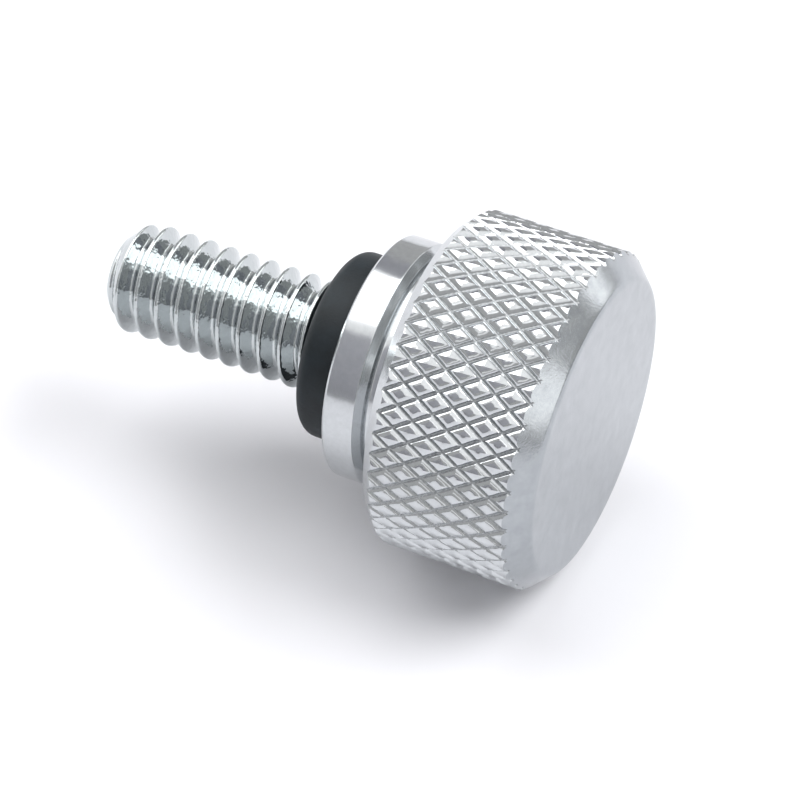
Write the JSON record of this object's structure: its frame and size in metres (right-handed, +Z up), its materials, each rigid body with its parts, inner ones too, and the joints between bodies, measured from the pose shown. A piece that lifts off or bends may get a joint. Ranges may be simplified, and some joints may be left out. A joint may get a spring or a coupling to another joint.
{
  "type": "seat bolt",
  "caption": "Chrome-plated thumb bolt for a seat: diamond-knurled round head, neck groove, collar, rubber washer and a threaded stud with a chamfered tip.",
  "frame": {"origin": "on the bolt's axis, in the washer face that seats on the seat bracket", "axes": "+X along the bolt towards the head's flat face, so the stud points to -X; +Z up with the bolt lying on its knurled head"},
  "size_m": [0.0287, 0.019, 0.019],
  "materials": {
    "chrome": "bright chrome plate on turned steel, with a satin front face",
    "rubber": "moulded black rubber, matt"
  },
  "bodies": {
    "root": {"bolt": "chrome", "rubber_washer": "rubber"}
  },
  "joints": []
}
